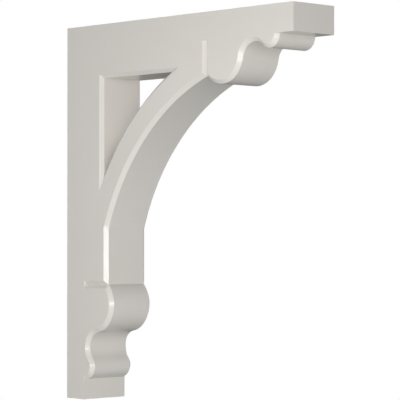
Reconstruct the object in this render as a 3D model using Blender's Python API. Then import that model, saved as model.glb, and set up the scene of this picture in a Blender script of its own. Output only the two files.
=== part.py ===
"""Porch bracket: one solid piece that fills the corner between a wall or post and a porch beam.

Metres, +Z up. The wall is the plane X = 0, the bracket reaches out along +X, and it is as thick
along Y as a nominal six-inch timber. The origin is the middle of the flat back face.
"""
from math import acos, asin, atan2, ceil, cos, hypot, pi, radians, sin, sqrt

import bmesh
import bpy

# Overall size
HEIGHT = 0.965          # back face, from the foot to the top
PROJECTION = 0.821      # top face, from the wall to the end of the arm
THICKNESS = 0.139       # from side face to side face

# Leg and arm, the two plain members of the L
LEG_DEPTH = 0.069       # out from the wall, at the foot
ARM_HEIGHT = 0.069      # down from the top, at the end block

# Brace
FACE_DEPTH = 0.1555     # how far the brace's ends stand from the wall and below the top
STRAIGHT = 0.142        # upright front of the brace between the leg's notch and the arch
ARCH_RADIUS = 0.595     # hollow front edge of the brace
BRACE_WIDTH = 0.070     # from the arch to the back edge of the brace
OPENING_MARGIN = 0.138  # solid left between the three-sided opening and the wall or the top

# Mouldings that end the leg and the arm, the same on both
NOTCH_TO_END = 0.2975   # from the notch to the end of the foot or of the arm
END_BLOCK = 0.053       # plain block past the mouldings
BIG_ROUND = 0.0723      # radius of the large round beside the notch
BIG_ROUND_SET = 0.0512  # its centre past the notch
COVE = 0.041            # radius of the hollow between the two rounds
SMALL_ROUND = 0.0323    # radius of the small round against the block

# Worked edges
CHAMFER = 0.0095        # on the mouldings, the arch and the opening, at both side faces
GROOVE_DEPTH = CHAMFER  # the V-grooves run into the chamfers at the same depth

# Modelling
CHORD_ERROR = 0.00005   # how far an arc's straight steps may leave the true arc
WELD = 0.00001          # vertices nearer than this are one
GRID_DECIMALS = 7       # places of a metre that vertices are rounded to, so that flush faces are flush
FLAT_ANGLE = radians(0.05)
SMOOTH_ANGLE = radians(25)
PAINT = (0.74, 0.72, 0.69, 1.0)
PAINT_ROUGHNESS = 0.42

TOP = HEIGHT / 2
BOTTOM = -HEIGHT / 2
SIDE = THICKNESS / 2
ARM_UNDERSIDE = TOP - ARM_HEIGHT


def arc(centre, radius, start, end):
    """Points on a circle from one angle to another, both ends included."""
    step = 2 * acos(1 - CHORD_ERROR / radius)
    count = max(2, ceil(abs(end - start) / step))
    angles = [start + (end - start) * i / count for i in range(count + 1)]
    return [(centre[0] + radius * cos(a), centre[1] + radius * sin(a)) for a in angles]


def angle_from(centre, point):
    return atan2(point[1] - centre[1], point[0] - centre[0])


def between(start, end, radius_from_start, radius_from_end):
    """Point on the left of start to end, at the two given distances from them."""
    length = hypot(end[0] - start[0], end[1] - start[1])
    along = (length ** 2 + radius_from_start ** 2 - radius_from_end ** 2) / (2 * length)
    aside = sqrt(radius_from_start ** 2 - along ** 2)
    ux, uy = (end[0] - start[0]) / length, (end[1] - start[1]) / length
    return (start[0] + ux * along - uy * aside, start[1] + uy * along + ux * aside)


def moulding(notch_out):
    """Large round, cove and small round as (along, out) points.

    Along runs from the notch towards the end block, and out is measured from the plain member's
    face. The small round is centred on that face, so it meets the block square.
    """
    run = NOTCH_TO_END - END_BLOCK
    big = (BIG_ROUND_SET, notch_out - sqrt(BIG_ROUND ** 2 - BIG_ROUND_SET ** 2))
    small = (run - SMALL_ROUND, 0.0)
    hollow = between(big, small, BIG_ROUND + COVE, COVE + SMALL_ROUND)
    first = angle_from(big, (0.0, notch_out))
    big_turn = angle_from(big, hollow)
    small_turn = angle_from(small, hollow)
    points = arc(big, BIG_ROUND, first, big_turn)
    points += arc(hollow, COVE, big_turn + pi, small_turn + pi)[1:]
    points += arc(small, SMALL_ROUND, small_turn, 0.0)[1:]
    return points


def leg_moulding():
    """From the notch down to the foot."""
    notch = BOTTOM + NOTCH_TO_END
    return [(LEG_DEPTH + out, notch - along) for along, out in moulding(FACE_DEPTH - LEG_DEPTH)]


def arm_moulding():
    """From the notch out to the end block."""
    notch = PROJECTION - NOTCH_TO_END
    return [(notch + along, ARM_UNDERSIDE - out) for along, out in moulding(FACE_DEPTH - ARM_HEIGHT)]


def arch_ends():
    """The arch springs from the straight front and ends in the arm's notch."""
    spring = (FACE_DEPTH, BOTTOM + NOTCH_TO_END + STRAIGHT)
    crown = (PROJECTION - NOTCH_TO_END, TOP - FACE_DEPTH)
    return spring, crown


def arch_centre():
    spring, crown = arch_ends()
    return between(crown, spring, ARCH_RADIUS, ARCH_RADIUS)


def arch():
    spring, crown = arch_ends()
    centre = arch_centre()
    return arc(centre, ARCH_RADIUS, angle_from(centre, spring), angle_from(centre, crown))


def brace_outline():
    """The whole moulded edge, closed by a path buried inside the leg and the arm."""
    buried_x = LEG_DEPTH / 2
    buried_z = TOP - ARM_HEIGHT / 2
    leg = leg_moulding()
    arm = arm_moulding()
    return (
        [(buried_x, leg[-1][1])]
        + leg[::-1]
        + arch()
        + arm
        + [(arm[-1][0], buried_z), (buried_x, buried_z)]
    )


def opening_outline():
    """Three-sided opening in the corner: two straight edges and an arc along the arch."""
    centre = arch_centre()
    radius = ARCH_RADIUS + BRACE_WIDTH
    left = OPENING_MARGIN
    top = TOP - OPENING_MARGIN
    lower_end = pi - asin((sqrt(radius ** 2 - (centre[0] - left) ** 2)) / radius)
    upper_end = pi - asin((top - centre[1]) / radius)
    return [(left, top)] + arc(centre, radius, lower_end, upper_end)


def member_outline():
    """The L of the plain leg and arm, with square edges."""
    return [
        (0.0, BOTTOM),
        (LEG_DEPTH, BOTTOM),
        (LEG_DEPTH, ARM_UNDERSIDE),
        (PROJECTION, ARM_UNDERSIDE),
        (PROJECTION, TOP),
        (0.0, TOP),
    ]


def keep_mesh(name, mesh, collection):
    """Put a mesh in the scene under its own name."""
    mesh.name = name
    made = bpy.data.objects.new(name, mesh)
    collection.objects.link(made)
    return made


def flat_solid(name, outlines, chamfer, collection):
    """Fill outlines drawn in X and Z, and give them the bracket's thickness along Y."""
    curve = bpy.data.curves.new(name + "_curve", "CURVE")
    curve.dimensions = "2D"
    curve.fill_mode = "BOTH"
    curve.extrude = SIDE - chamfer
    curve.bevel_depth = chamfer
    curve.bevel_resolution = 0
    curve.offset = -chamfer
    for outline in outlines:
        spline = curve.splines.new("POLY")
        spline.points.add(len(outline) - 1)
        spline.use_cyclic_u = True
        for point, (x, z) in zip(spline.points, outline):
            point.co = (x, z, 0.0, 1.0)
    drawn = bpy.data.objects.new(name + "_drawn", curve)
    collection.objects.link(drawn)
    mesh = evaluated_mesh(drawn)
    bpy.data.objects.remove(drawn)
    bpy.data.curves.remove(curve)

    bm = bmesh.new()
    bm.from_mesh(mesh)
    for vertex in bm.verts:
        x, z, depth = (round(value, GRID_DECIMALS) for value in vertex.co)
        vertex.co = (x, -depth, z)
    bmesh.ops.remove_doubles(bm, verts=bm.verts, dist=WELD)
    bmesh.ops.recalc_face_normals(bm, faces=bm.faces)
    bm.to_mesh(mesh)
    bm.free()
    return keep_mesh(name, mesh, collection)


def groove_cutter(name, start, length, upright, side, collection):
    """Square bar set on its edge, half sunk in one side face: it cuts a V with square ends."""
    bpy.ops.mesh.primitive_cylinder_add(vertices=4, radius=GROOVE_DEPTH, depth=length)
    bar = bpy.context.object
    bar.name = name
    x, z = start
    if upright:
        bar.location = (x, side * SIDE, z - length / 2)
    else:
        bar.location = (x + length / 2, side * SIDE, z)
        bar.rotation_euler = (0.0, pi / 2, 0.0)
    for holder in list(bar.users_collection):
        holder.objects.unlink(bar)
    collection.objects.link(bar)
    return bar


def groove_cutters(collection):
    """One V-groove across the leg and one down the arm, on both side faces.

    Each starts in line with the plain member's face and runs out through the notch.
    """
    past = GROOVE_DEPTH
    leg_start = (LEG_DEPTH, BOTTOM + NOTCH_TO_END)
    leg_length = FACE_DEPTH - LEG_DEPTH + past
    arm_start = (PROJECTION - NOTCH_TO_END, ARM_UNDERSIDE)
    arm_length = FACE_DEPTH - ARM_HEIGHT + past
    bars = []
    for side, word in ((-1, "near"), (1, "far")):
        bars.append(groove_cutter("leg_groove_" + word, leg_start, leg_length, False, side, collection))
        bars.append(groove_cutter("arm_groove_" + word, arm_start, arm_length, True, side, collection))
    return bars


def combine(target, tool, operation):
    step = target.modifiers.new(tool.name, "BOOLEAN")
    step.operation = operation
    step.solver = "EXACT"
    step.object = tool


def evaluated_mesh(source):
    """The object's mesh with its modifiers applied."""
    bpy.context.view_layer.update()
    evaluated = source.evaluated_get(bpy.context.evaluated_depsgraph_get())
    return bpy.data.meshes.new_from_object(evaluated)


def clean_flats(mesh):
    """Weld what the cuts left doubled, and drop the points left over inside flat faces."""
    bm = bmesh.new()
    bm.from_mesh(mesh)
    bmesh.ops.remove_doubles(bm, verts=bm.verts, dist=WELD)
    bmesh.ops.dissolve_limit(bm, angle_limit=FLAT_ANGLE, verts=bm.verts, edges=bm.edges)
    bm.to_mesh(mesh)
    bm.free()


def paint_material():
    material = bpy.data.materials.new("white_paint")
    material.use_nodes = True
    shader = material.node_tree.nodes["Principled BSDF"]
    shader.inputs["Base Color"].default_value = PAINT
    shader.inputs["Roughness"].default_value = PAINT_ROUGHNESS
    shader.inputs["Metallic"].default_value = 0.0
    return material


def main():
    for old in list(bpy.data.objects):
        bpy.data.objects.remove(old)
    parts = bpy.data.collections.new("porch_bracket")
    cutters = bpy.data.collections.new("cutters")
    bpy.context.scene.collection.children.link(parts)
    bpy.context.scene.collection.children.link(cutters)

    brace = flat_solid("brace", [brace_outline(), opening_outline()], CHAMFER, cutters)
    members = flat_solid("leg_and_arm", [member_outline()], 0.0, cutters)
    combine(brace, members, "UNION")
    tools = [members] + groove_cutters(cutters)
    for bar in tools[1:]:
        combine(brace, bar, "DIFFERENCE")

    mesh = evaluated_mesh(brace)
    clean_flats(mesh)
    mesh.materials.clear()
    mesh.materials.append(paint_material())
    mesh.shade_smooth()
    mesh.set_sharp_from_angle(angle=SMOOTH_ANGLE)
    keep_mesh("bracket", mesh, parts)

    for tool in tools + [brace]:
        tool.hide_render = True
        tool.display_type = "WIRE"


main()
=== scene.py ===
"""Looks of the porch bracket: painted board with eased arrises, hung above a pale studio floor.

Metres, +Z up, in the part's own frame: the wall or post is the plane X = 0 and the bracket reaches
out along +X. Azimuths are measured round +Z: 0 stands in front of the near side face and looks
along +Y, 90 stands off the end of the arm and looks back along -X.
"""

from math import cos, radians, sin

import bmesh
import bpy
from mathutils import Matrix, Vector


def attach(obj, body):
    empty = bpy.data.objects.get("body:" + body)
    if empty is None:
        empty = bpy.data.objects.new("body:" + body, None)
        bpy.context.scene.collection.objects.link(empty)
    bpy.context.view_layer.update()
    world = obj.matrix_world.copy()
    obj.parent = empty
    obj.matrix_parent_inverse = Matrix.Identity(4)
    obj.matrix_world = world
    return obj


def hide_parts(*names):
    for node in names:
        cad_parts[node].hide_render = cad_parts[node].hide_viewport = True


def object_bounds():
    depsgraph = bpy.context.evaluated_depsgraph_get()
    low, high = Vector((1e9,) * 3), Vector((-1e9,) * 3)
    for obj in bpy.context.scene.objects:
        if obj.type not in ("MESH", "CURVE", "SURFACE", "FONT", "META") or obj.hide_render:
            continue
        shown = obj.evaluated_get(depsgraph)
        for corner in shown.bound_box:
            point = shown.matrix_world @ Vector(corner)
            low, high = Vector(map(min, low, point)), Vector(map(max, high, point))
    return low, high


# Camera, placed round the point that it looks at
IMAGE_SIDE = 400          # pixels, both ways
FOCAL_PIXELS = 1961       # focal length, in pixels of that image
SENSOR = 36.0             # millimetres
CAMERA_AIM = Vector((0.4324, 0.0, 0.0284))
CAMERA_DISTANCE = 4.858
CAMERA_AZIMUTH = 46.72
CAMERA_ELEVATION = -1.05

# Floor
BEAM_HEIGHT = 2.4         # from the floor up to the beam that the bracket's top meets
FLOOR_RADIUS = 9.0
FLOOR_EDGES = 96
FLOOR_TONE = 0.85         # under the bracket; it fades to the white of the backdrop at the rim
FADE_START = 2.5

# Studio softboxes: azimuth, elevation, distance, width, height and watts
SOFTBOXES = {
    "key": (38, -7, 2.0, 0.9, 0.35, 7.2),
    "front_fill": (20, 0, 5.0, 1.6, 1.6, 110.0),
    "end_fill": (58, 5, 5.0, 1.6, 1.6, 43.0),
    "low_fill": (60, -35, 3.0, 1.0, 1.0, 5.0),
    "side_sheen": (-38, 0, 5.0, 1.6, 1.6, 12.0),
    "back_top": (225, 45, 5.0, 1.6, 1.6, 150.0),
    "back_fill": (205, 0, 5.0, 1.6, 1.6, 90.0),
}
# The lamps that show in the gloss. The others only fill: mirrored at a slant, they would burn out faces.
SEEN_IN_GLOSS = ("key", "low_fill", "side_sheen")

# Soft light from all round: the axis that it comes along, which end of it, and its brightness
GLOWS = (
    ("Z", 1, 0.03),
    ("Z", -1, 0.25),
    ("X", -1, 0.1),
    ("X", 1, 0.35),
)
WHITE = (1.0, 1.0, 1.0, 1.0)

# Arrises
EASING = 0.00035          # width of the sanded round on every arris
EASING_STEPS = 2
ARRIS_ANGLE = radians(25)
WELD = 0.00001            # vertices nearer than this are one
SHORTEST_EDGE = 0.001     # shorter ones are closed up before the easing
FLAT_ANGLE = radians(0.05)
FLAT_WEIGHT = 100         # lets the large faces set the shading at their edges

# Paint
PAINT_DEEP = (0.755, 0.728, 0.682, 1.0)
PAINT_PALE = (0.775, 0.748, 0.702, 1.0)
PATCH = 0.12              # size of the faint patches of deeper and paler paint
PATCH_DETAIL = 3          # how many finer layers the noise has, here and in the two details below
SHEEN_PATCH = 0.03        # size of the patches of duller and glossier paint
SHEEN_DETAIL = 4
ROUGHNESS = (0.18, 0.22)
PAINT_IOR = 1.6           # hard enamel reflects a little more than the shader's usual 1.5
PEEL = 0.0016             # size of the spray texture's dimples
PEEL_DETAIL = 1
PEEL_DEPTH = 0.000008


def direction(azimuth, elevation):
    """Unit vector from the bracket towards something seen at these angles, in degrees."""
    a, e = radians(azimuth), radians(elevation)
    return Vector((sin(a) * cos(e), -cos(a) * cos(e), sin(e)))


def place(thing, azimuth, elevation, distance):
    """Stand a camera or lamp off the bracket, looking back at it with its top up."""
    away = direction(azimuth, elevation)
    thing.location = CAMERA_AIM + away * distance
    thing.rotation_mode = "QUATERNION"
    thing.rotation_quaternion = (-away).to_track_quat("-Z", "Y")


def add_object(name, data):
    made = bpy.data.objects.new(name, data)
    bpy.context.scene.collection.objects.link(made)
    return made


def make_camera():
    data = bpy.data.cameras.new("camera")
    data.sensor_width = SENSOR
    data.lens = SENSOR * FOCAL_PIXELS / IMAGE_SIDE
    camera = add_object("camera", data)
    place(camera, CAMERA_AZIMUTH, CAMERA_ELEVATION, CAMERA_DISTANCE)
    bpy.context.scene.camera = camera


def eased_bracket(node):
    """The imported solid's own surface, with its arrises eased as sanding and paint leave them."""
    mesh = node.data.copy()
    mesh.name = "bracket_surface"
    bm = bmesh.new()
    bm.from_mesh(mesh)
    bmesh.ops.remove_doubles(bm, verts=bm.verts, dist=WELD)
    bmesh.ops.dissolve_limit(bm, angle_limit=FLAT_ANGLE, verts=bm.verts, edges=bm.edges)
    bmesh.ops.dissolve_degenerate(bm, dist=SHORTEST_EDGE, edges=bm.edges)
    bm.to_mesh(mesh)
    bm.free()
    mesh.materials.clear()
    mesh.shade_smooth()
    piece = add_object("painted_bracket", mesh)
    ease = piece.modifiers.new("eased_arrises", "BEVEL")
    ease.width = EASING
    ease.segments = EASING_STEPS
    ease.limit_method = "ANGLE"
    ease.angle_limit = ARRIS_ANGLE
    ease.use_clamp_overlap = False
    flats = piece.modifiers.new("flat_faces_stay_flat", "WEIGHTED_NORMAL")
    flats.mode = "FACE_AREA"
    flats.weight = FLAT_WEIGHT
    return piece


def noise(tree, coordinates, size, detail):
    """Noise with features of about the given size in metres."""
    node = tree.nodes.new("ShaderNodeTexNoise")
    node.inputs["Scale"].default_value = 1 / size
    node.inputs["Detail"].default_value = detail
    tree.links.new(coordinates, node.inputs["Vector"])
    return node.outputs["Fac"]


def paint():
    """Off-white sprayed paint, glossier than satin, so that the chamfers catch the key lamp."""
    material = bpy.data.materials.new("off_white_paint")
    material.use_nodes = True
    tree = material.node_tree
    shader = tree.nodes["Principled BSDF"]
    shader.inputs["IOR"].default_value = PAINT_IOR
    coordinates = tree.nodes.new("ShaderNodeTexCoord").outputs["Object"]

    tint = tree.nodes.new("ShaderNodeMix")
    tint.data_type = "RGBA"
    tint.inputs["A"].default_value = PAINT_DEEP
    tint.inputs["B"].default_value = PAINT_PALE
    tree.links.new(noise(tree, coordinates, PATCH, PATCH_DETAIL), tint.inputs["Factor"])
    tree.links.new(tint.outputs["Result"], shader.inputs["Base Color"])

    sheen = tree.nodes.new("ShaderNodeMapRange")
    sheen.inputs["To Min"].default_value, sheen.inputs["To Max"].default_value = ROUGHNESS
    tree.links.new(noise(tree, coordinates, SHEEN_PATCH, SHEEN_DETAIL), sheen.inputs["Value"])
    tree.links.new(sheen.outputs["Result"], shader.inputs["Roughness"])

    peel = tree.nodes.new("ShaderNodeBump")
    peel.inputs["Distance"].default_value = PEEL_DEPTH
    tree.links.new(noise(tree, coordinates, PEEL, PEEL_DETAIL), peel.inputs["Height"])
    tree.links.new(peel.outputs["Normal"], shader.inputs["Normal"])
    return material


def floor_tone():
    """Plain pale tone that fades to white at the rim, and is left out when seen from beneath."""
    material = bpy.data.materials.new("pale_floor")
    material.use_nodes = True
    tree = material.node_tree
    tree.nodes.clear()
    place_on_floor = tree.nodes.new("ShaderNodeTexCoord")
    reach = tree.nodes.new("ShaderNodeVectorMath")
    reach.operation = "LENGTH"
    fade = tree.nodes.new("ShaderNodeMapRange")
    fade.interpolation_type = "SMOOTHSTEP"
    fade.inputs["From Min"].default_value = FADE_START
    fade.inputs["From Max"].default_value = FLOOR_RADIUS
    fade.inputs["To Min"].default_value = FLOOR_TONE
    glow = tree.nodes.new("ShaderNodeEmission")
    clear = tree.nodes.new("ShaderNodeBsdfTransparent")
    underside = tree.nodes.new("ShaderNodeNewGeometry")
    choose = tree.nodes.new("ShaderNodeMixShader")
    out = tree.nodes.new("ShaderNodeOutputMaterial")
    tree.links.new(place_on_floor.outputs["Object"], reach.inputs[0])
    tree.links.new(reach.outputs["Value"], fade.inputs["Value"])
    tree.links.new(fade.outputs["Result"], glow.inputs["Strength"])
    tree.links.new(underside.outputs["Backfacing"], choose.inputs["Fac"])
    tree.links.new(glow.outputs["Emission"], choose.inputs[1])
    tree.links.new(clear.outputs["BSDF"], choose.inputs[2])
    tree.links.new(choose.outputs["Shader"], out.inputs["Surface"])
    return material


def make_floor(top):
    """Round floor far enough below for the camera to look over it. It sends no light to the bracket."""
    mesh = bpy.data.meshes.new("floor")
    bm = bmesh.new()
    bmesh.ops.create_circle(bm, cap_ends=True, segments=FLOOR_EDGES, radius=FLOOR_RADIUS)
    bm.to_mesh(mesh)
    bm.free()
    mesh.materials.append(floor_tone())
    floor = add_object("floor", mesh)
    floor.location = (CAMERA_AIM.x, CAMERA_AIM.y, top - BEAM_HEIGHT)
    floor.visible_diffuse = False
    floor.visible_glossy = False
    floor.visible_shadow = False


def glow_from(tree, parts, axis, end, brightness):
    """Brightness that falls off as the cosine of the angle from one end of an axis."""
    scaled = tree.nodes.new("ShaderNodeMath")
    scaled.operation = "MULTIPLY"
    scaled.inputs[1].default_value = end * brightness
    above_zero = tree.nodes.new("ShaderNodeMath")
    above_zero.operation = "MAXIMUM"
    above_zero.inputs[1].default_value = 0.0
    tree.links.new(parts.outputs[axis], scaled.inputs[0])
    tree.links.new(scaled.outputs["Value"], above_zero.inputs[0])
    return above_zero.outputs["Value"]


def make_world():
    """Soft light from all round, and a white backdrop where the camera looks past the bracket."""
    world = bpy.data.worlds.new("studio")
    world.use_nodes = True
    tree = world.node_tree
    tree.nodes.clear()
    view = tree.nodes.new("ShaderNodeTexCoord")
    parts = tree.nodes.new("ShaderNodeSeparateXYZ")
    tree.links.new(view.outputs["Generated"], parts.inputs["Vector"])
    total = None
    for axis, end, brightness in GLOWS:
        glow = glow_from(tree, parts, axis, end, brightness)
        if total is None:
            total = glow
            continue
        add = tree.nodes.new("ShaderNodeMath")
        add.operation = "ADD"
        tree.links.new(total, add.inputs[0])
        tree.links.new(glow, add.inputs[1])
        total = add.outputs["Value"]
    room = tree.nodes.new("ShaderNodeBackground")
    room.inputs["Color"].default_value = WHITE
    tree.links.new(total, room.inputs["Strength"])
    backdrop = tree.nodes.new("ShaderNodeBackground")
    backdrop.inputs["Color"].default_value = WHITE
    path = tree.nodes.new("ShaderNodeLightPath")
    choose = tree.nodes.new("ShaderNodeMixShader")
    out = tree.nodes.new("ShaderNodeOutputWorld")
    tree.links.new(path.outputs["Is Camera Ray"], choose.inputs["Fac"])
    tree.links.new(room.outputs["Background"], choose.inputs[1])
    tree.links.new(backdrop.outputs["Background"], choose.inputs[2])
    tree.links.new(choose.outputs["Shader"], out.inputs["Surface"])
    bpy.context.scene.world = world


def softbox(name, azimuth, elevation, distance, width, height, watts):
    """Rectangular lamp that the camera doesn't see."""
    data = bpy.data.lights.new(name, "AREA")
    data.shape = "RECTANGLE"
    data.size = width
    data.size_y = height
    data.energy = watts
    lamp = add_object(name, data)
    place(lamp, azimuth, elevation, distance)
    lamp.visible_camera = False
    lamp.visible_glossy = name in SEEN_IN_GLOSS


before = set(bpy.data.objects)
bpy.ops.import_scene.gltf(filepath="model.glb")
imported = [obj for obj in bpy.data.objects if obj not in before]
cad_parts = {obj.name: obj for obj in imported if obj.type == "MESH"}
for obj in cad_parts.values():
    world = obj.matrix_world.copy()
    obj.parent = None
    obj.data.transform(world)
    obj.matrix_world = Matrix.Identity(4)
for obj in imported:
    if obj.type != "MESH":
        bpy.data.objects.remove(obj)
cad_low, cad_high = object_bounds()

make_camera()
make_world()
for lamp_name, settings in SOFTBOXES.items():
    softbox(lamp_name, *settings)
make_floor(cad_high[2])

bracket = eased_bracket(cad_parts["bracket"])
bracket.data.materials.append(paint())
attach(bracket, "root")
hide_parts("bracket")

bpy.context.scene.view_settings.view_transform = "Standard"
